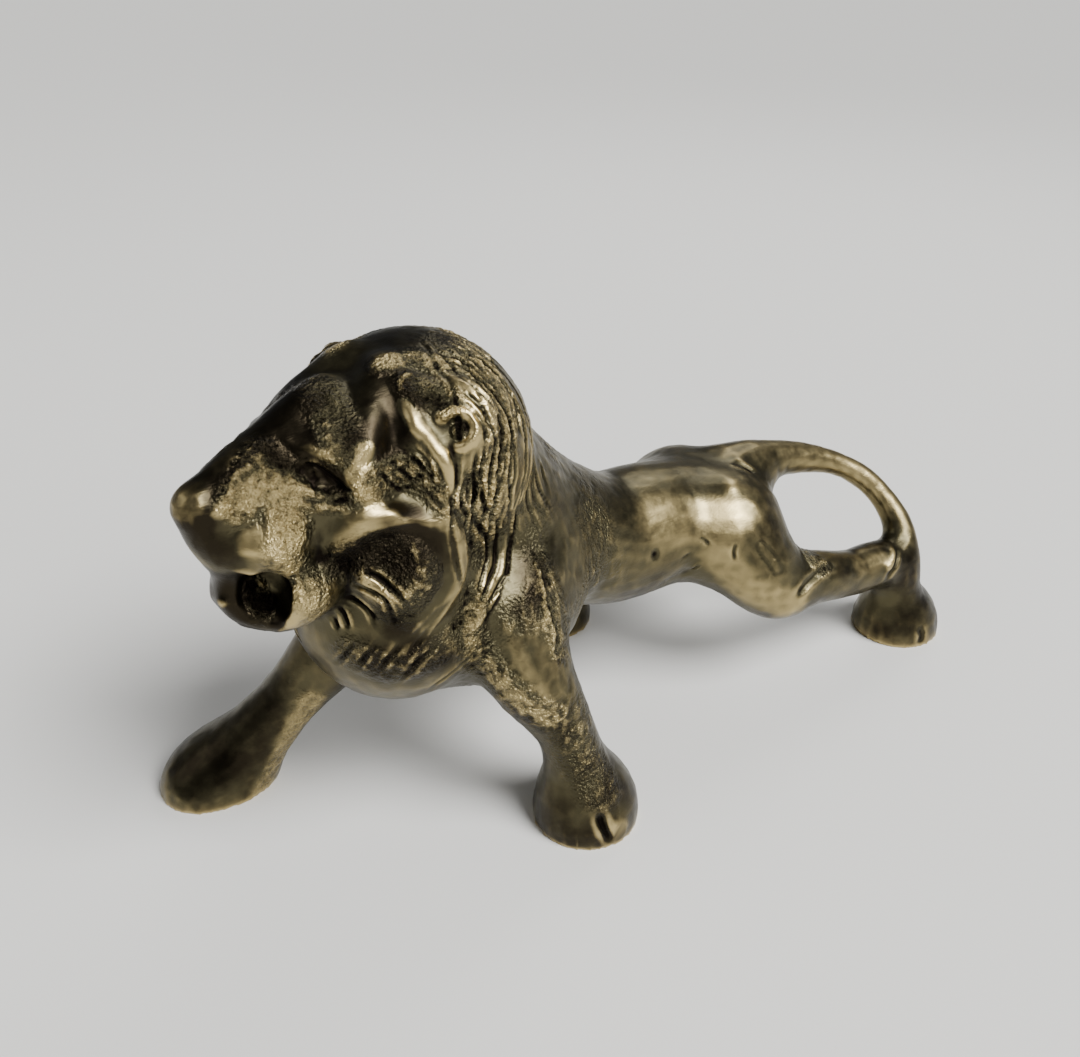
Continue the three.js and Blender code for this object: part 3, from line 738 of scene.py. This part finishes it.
# Strokes run down the body, so their noise is stretched upwards by 1 / 0.42.
STROKE_WAY = np.array([1.0, 1.0, 0.42])
STROKE_CELLS = (1.1, 0.6)
STROKE_SEEDS = (5, 6)
FINE_STROKES = 0.7
PATCH_CELL = 9.0
PATCH_SEED = 7
PATCH_EDGES = (-0.35, 0.45)
PUNCH_CELLS = (1.15, 0.65)
PUNCH_SEEDS = (9, 10)
FINE_PUNCHES = 0.75
FOOT_HEIGHT = (0.3, 2.0)
BOX_MARGIN = 0.01

combed = skin * STROKE_WAY
strokes = grain(combed, STROKE_CELLS[0], STROKE_SEEDS[0])
strokes += FINE_STROKES * grain(combed, STROKE_CELLS[1], STROKE_SEEDS[1])
fur = ramp(skin[:, 1], *FUR_FRONT) * (1 - ramp(skin[:, 1], *FUR_BACK))
fur *= ramp(skin[:, 2], *FUR_HEIGHT)
patches = ramp(grain(skin, PATCH_CELL, PATCH_SEED), *PATCH_EDGES)
punches = grain(skin, PUNCH_CELLS[0], PUNCH_SEEDS[0])
punches += FINE_PUNCHES * grain(skin, PUNCH_CELLS[1], PUNCH_SEEDS[1])
relief += STROKE_DEPTH * fur * (0.4 + 0.6 * patches) * strokes
relief += PUNCH_DEPTH * rough * (0.6 + 0.4 * patches) * punches
relief += SKIN_DEPTH * punches
rough = np.maximum(rough, FUR_ROUGHNESS * fur * patches)

# The relief fades out above the soles, which stay flat, and nothing leaves the casting's box.
relief = np.where(sole, 0.0, relief) * ramp(skin[:, 2], *FOOT_HEIGHT)
skin = skin + normals * relief[:, None]
skin[:, 2] = np.maximum(skin[:, 2], 0)
box_low = np.array(cad_box[0]) * 1000 + BOX_MARGIN
box_high = np.array(cad_box[1]) * 1000 - BOX_MARGIN
skin = np.clip(skin, box_low, box_high)
lion.data.vertices.foreach_set("co", (skin / 1000).astype(np.float32).ravel())
lion.data.update()

# How deep each place lies below what is around it, near and wide, which the patina follows.
NEAR_ROUNDS = 6
WIDE_ROUNDS = 40
NEAR_SHARE = 2.2
WIDE_SHARE = 0.3

near_mean = skin
for _ in range(NEAR_ROUNDS):
    near_mean = neighbour_mean(near_mean)
wide_mean = near_mean
for _ in range(WIDE_ROUNDS):
    wide_mean = neighbour_mean(wide_mean)
near_hollow = np.einsum("ij,ij->i", near_mean - skin, normals)
wide_hollow = np.einsum("ij,ij->i", wide_mean - skin, normals)
hollow = neighbour_mean(near_hollow * NEAR_SHARE + wide_hollow * WIDE_SHARE)

for name, values in (("hollow", hollow), ("rough", rough), ("tone", neighbour_mean(tone))):
    layer = lion.data.attributes.new(name, "FLOAT", "POINT")
    layer.data.foreach_set("value", values.astype(np.float32))
thin = lion.modifiers.new("fewer faces where it is smooth", "DECIMATE")
triangle_count = sum(len(face.vertices) - 2 for face in lion.data.polygons)
thin.ratio = min(1.0, MOST_TRIANGLES / triangle_count)
applied(lion)
lion.data.polygons.foreach_set("use_smooth", np.ones(len(lion.data.polygons), bool))
lion.data.update()


def linear(code):
    """An sRGB hex colour as linear red, green, blue and 1."""
    parts = [int(code[i:i + 2], 16) / 255 for i in (1, 3, 5)]
    return tuple(c / 12.92 if c <= 0.04045 else ((c + 0.055) / 1.055) ** 2.4 for c in parts) + (1.0,)


def node(tree_of, kind, settings=None, links=None):
    """Adds one node: settings go to its own properties, links to its inputs, which take a value or
    another node's output."""
    made = tree_of.nodes.new(kind)
    for name, value in (settings or {}).items():
        setattr(made, name, value)
    for name, value in (links or {}).items():
        if isinstance(value, bpy.types.NodeSocket):
            tree_of.links.new(value, made.inputs[name])
        else:
            made.inputs[name].default_value = value
    return made


# Aged brass: cast, filed and long handled. High places are rubbed to a pale gold, flat ones are a
# dark olive gold with brown clouds, and hollows hold a near-black brown that reflects little. The
# pale gold and the brown also carry highlights and shade painted in by the tone layer.
WORN_AND_HIGHLIGHT_GOLD = "#bba877"
OLIVE_BRASS = "#4e4936"
BROWN_PATINA_AND_SHADE = "#29241b"
DARK_PATINA = "#15110d"
# Sizes of the patterns in millimetres: brown clouds, the patina's mottling, the grain of the cast
# skin, the marks of the punch, and the file's scratches, drawn coarser than real so that they show.
CLOUD = 16
MOTTLE = 2.6
PIT_GRAIN = 0.75
PUNCH = 0.85
BRUSH = 0.35
# Over what range each mask goes from none to whole, how dull the brass is, and how high its marks
# stand in metres.
WEAR_AND_HIGHLIGHT_RANGE = (0.0, 1.4)
STAINED_RANGE = (0.26, 0.7)
FILM_AND_SHADE_RANGE = (0.5, 0.82)
POLISH = (0.29, 0.41)
STAIN_DULLNESS = 0.2
PUNCH_HEIGHT = 0.0008
SCRATCH_HEIGHT = 0.0001
MOTTLE_HEIGHT = 0.0004

brass = bpy.data.materials.new("aged_cast_brass")
brass.use_nodes = True
web = brass.node_tree
web.nodes.clear()
SMOOTH = {"interpolation_type": "SMOOTHSTEP"}
position = node(web, "ShaderNodeTexCoord").outputs["Object"]
deep = node(web, "ShaderNodeAttribute", {"attribute_name": "hollow"}).outputs["Fac"]
punched = node(web, "ShaderNodeAttribute", {"attribute_name": "rough"}).outputs["Fac"]
shade = node(web, "ShaderNodeAttribute", {"attribute_name": "tone"}).outputs["Fac"]
cloud = node(web, "ShaderNodeTexNoise", None,
             {"Vector": position, "Scale": 1000 / CLOUD, "Detail": 4.0, "Roughness": 0.55}).outputs["Fac"]
mottle = node(web, "ShaderNodeTexNoise", None,
              {"Vector": position, "Scale": 1000 / MOTTLE,
               "Detail": 5.0, "Roughness": 0.62}).outputs["Fac"]
fine = node(web, "ShaderNodeTexNoise", None,
            {"Vector": position, "Scale": 1000 / PIT_GRAIN,
             "Detail": 3.0, "Roughness": 0.6}).outputs["Fac"]
# The file and the polishing cloth went along the body, so their scratches are eight times as long
# as they are wide.
brushed_place = node(web, "ShaderNodeMapping", None,
                     {"Vector": position, "Rotation": (0.5, 0.35, 0.2),
                      "Scale": (1.0, 0.12, 1.0)}).outputs[0]
brushed = node(web, "ShaderNodeTexNoise", None,
               {"Vector": brushed_place, "Scale": 1000 / BRUSH,
                "Detail": 2.0, "Roughness": 0.5}).outputs["Fac"]
# Rubbed bright: the high places, the ones that hands reach most, and the tone's painted highlights.
proud_and_highlit = node(web, "ShaderNodeMath", {"operation": "MULTIPLY_ADD"},
             {0: deep, 1: -2.2, 2: shade}).outputs[0]
proud_and_highlit = node(web, "ShaderNodeMath", {"operation": "MULTIPLY_ADD"},
             {0: mottle, 1: 0.2, 2: proud_and_highlit}).outputs[0]
speck = node(web, "ShaderNodeMath", {"operation": "SUBTRACT"}, {0: fine, 1: 0.5}).outputs[0]
speck = node(web, "ShaderNodeMath", {"operation": "MULTIPLY"}, {0: speck, 1: punched}).outputs[0]
proud_and_highlit = node(web, "ShaderNodeMath", {"operation": "MULTIPLY_ADD"},
             {0: speck, 1: 1.6, 2: proud_and_highlit}).outputs[0]
wear_and_highlight = node(web, "ShaderNodeMapRange", SMOOTH,
            {"Value": proud_and_highlit, "From Min": WEAR_AND_HIGHLIGHT_RANGE[0], "From Max": WEAR_AND_HIGHLIGHT_RANGE[1]}).outputs["Result"]
# Stained dark: the hollows and the pits of the punched ground.
pits = node(web, "ShaderNodeMath", {"operation": "MULTIPLY_ADD"},
            {0: mottle, 1: 0.3, 2: deep}).outputs[0]
pits = node(web, "ShaderNodeMath", {"operation": "MULTIPLY_ADD"},
            {0: punched, 1: 0.08, 2: pits}).outputs[0]
pits = node(web, "ShaderNodeMath", {"operation": "MULTIPLY_ADD"},
            {0: speck, 1: -1.0, 2: pits}).outputs[0]
stained = node(web, "ShaderNodeMapRange", SMOOTH,
               {"Value": pits, "From Min": STAINED_RANGE[0],
                "From Max": STAINED_RANGE[1]}).outputs["Result"]
# Brown film: clouds of it everywhere, whole on the brow and the crown, and painted shade where the
# tone is low.
film_and_shade = node(web, "ShaderNodeMath", {"operation": "MULTIPLY_ADD"},
            {0: shade, 1: -0.42, 2: cloud}).outputs[0]
film_and_shade = node(web, "ShaderNodeMapRange", SMOOTH,
            {"Value": film_and_shade, "From Min": FILM_AND_SHADE_RANGE[0], "From Max": FILM_AND_SHADE_RANGE[1]}).outputs["Result"]
base = node(web, "ShaderNodeMix", {"data_type": "RGBA"},
            {0: film_and_shade, 6: linear(OLIVE_BRASS), 7: linear(BROWN_PATINA_AND_SHADE)}).outputs[2]
rubbed = node(web, "ShaderNodeMix", {"data_type": "RGBA"},
              {0: wear_and_highlight, 6: base, 7: linear(WORN_AND_HIGHLIGHT_GOLD)}).outputs[2]
colour = node(web, "ShaderNodeMix", {"data_type": "RGBA"},
              {0: stained, 6: rubbed, 7: linear(DARK_PATINA)}).outputs[2]
dull = node(web, "ShaderNodeMapRange", None,
            {"Value": mottle, "From Min": 0.3, "From Max": 0.7,
             "To Min": POLISH[0], "To Max": POLISH[1]}).outputs["Result"]
roughness = node(web, "ShaderNodeMath", {"operation": "MULTIPLY_ADD", "use_clamp": True},
                 {0: stained, 1: STAIN_DULLNESS, 2: dull}).outputs[0]
punch_marks = node(web, "ShaderNodeTexVoronoi", {"feature": "F1"},
                   {"Vector": position, "Scale": 1000 / PUNCH, "Randomness": 1.0}).outputs["Distance"]
punch_height = node(web, "ShaderNodeMath", {"operation": "MULTIPLY_ADD"},
                    {0: fine, 1: 1.6, 2: punch_marks}).outputs[0]
punch_height = node(web, "ShaderNodeMath", {"operation": "MULTIPLY"},
                    {0: punch_height, 1: punched}).outputs[0]
bump = node(web, "ShaderNodeBump", None,
            {"Strength": 1.0, "Distance": PUNCH_HEIGHT, "Height": punch_height})
bump = node(web, "ShaderNodeBump", None,
            {"Strength": 0.35, "Distance": SCRATCH_HEIGHT, "Height": brushed, "Normal": bump.outputs[0]})
bump = node(web, "ShaderNodeBump", None,
            {"Strength": 0.1, "Distance": MOTTLE_HEIGHT, "Height": mottle, "Normal": bump.outputs[0]})
shader = node(web, "ShaderNodeBsdfPrincipled", None,
              {"Base Color": colour, "Metallic": 1.0, "Roughness": roughness, "Normal": bump.outputs[0]})
node(web, "ShaderNodeOutputMaterial", None, {"Surface": shader.outputs[0]})
lion.data.materials.append(brass)

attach(lion, "root")
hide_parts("lion")


# The floor
# A plain pale matt table, far wider than the view, so that no edge of it shows.

FLOOR_HALF = 3.0
FLOOR_COLOUR = "#d9d8d4"

floor_mesh = bpy.data.meshes.new("floor")
floor_mesh.from_pydata(
    [(-FLOOR_HALF, -FLOOR_HALF, 0), (FLOOR_HALF, -FLOOR_HALF, 0), (FLOOR_HALF, FLOOR_HALF, 0),
     (-FLOOR_HALF, FLOOR_HALF, 0)], [], [(0, 1, 2, 3)])
floor = bpy.data.objects.new("floor", floor_mesh)
bpy.context.scene.collection.objects.link(floor)
matt = bpy.data.materials.new("matt_painted_board")
matt.use_nodes = True
paint = matt.node_tree.nodes["Principled BSDF"]
paint.inputs["Base Color"].default_value = linear(FLOOR_COLOUR)
paint.inputs["Roughness"].default_value = 1.0
paint.inputs["Specular IOR Level"].default_value = 0.0
floor_mesh.materials.append(matt)


# The light
# Plain studio light: an even skylight from the picture's right that reaches the whole floor, soft
# lamps on both sides and behind for the brass to reflect, and a dim room.

ROOM_COLOUR = "#c9ccd0"
ROOM_STRENGTH = 0.2
SKY_TURN = 112
SKY_HEIGHT = 50
SKY_STRENGTH = 5.0
SKY_SPREAD = 30
SKY_DISTANCE = 2.0
AIM_HEIGHT = 0.05
# Each lamp's turn and height in degrees, distance and width in metres, and watts.
LAMPS = [
    ("right_lamp", 95, 38, 0.8, 0.4, 3.5),
    ("left_lamp", -20, 35, 0.9, 0.5, 1.2),
    ("back_lamp", 210, 45, 0.9, 0.4, 2.0),
]

room = bpy.data.worlds.new("room")
bpy.context.scene.world = room
room.use_nodes = True
walls = room.node_tree.nodes["Background"]
walls.inputs["Color"].default_value = linear(ROOM_COLOUR)
walls.inputs["Strength"].default_value = ROOM_STRENGTH


def hung(name, lamp_data, turn, height, distance):
    """A lamp at a turn from straight ahead of the lion and a height above the floor, both in
    degrees, that points back at the lion."""
    lamp = bpy.data.objects.new(name, lamp_data)
    bpy.context.scene.collection.objects.link(lamp)
    turn = math.radians(turn)
    height = math.radians(height)
    back = Vector((math.sin(turn) * math.cos(height), -math.cos(turn) * math.cos(height),
                   math.sin(height)))
    lamp.location = back * distance + Vector((0, 0, AIM_HEIGHT))
    lamp.rotation_mode = "QUATERNION"
    lamp.rotation_quaternion = (-back).to_track_quat("-Z", "Y")


sky = bpy.data.lights.new("skylight", "SUN")
sky.energy = SKY_STRENGTH
sky.angle = math.radians(SKY_SPREAD)
hung("skylight", sky, SKY_TURN, SKY_HEIGHT, SKY_DISTANCE)
for name, turn, height, distance, size, power in LAMPS:
    lamp_data = bpy.data.lights.new(name, "AREA")
    lamp_data.size = size
    lamp_data.energy = power
    hung(name, lamp_data, turn, height, distance)
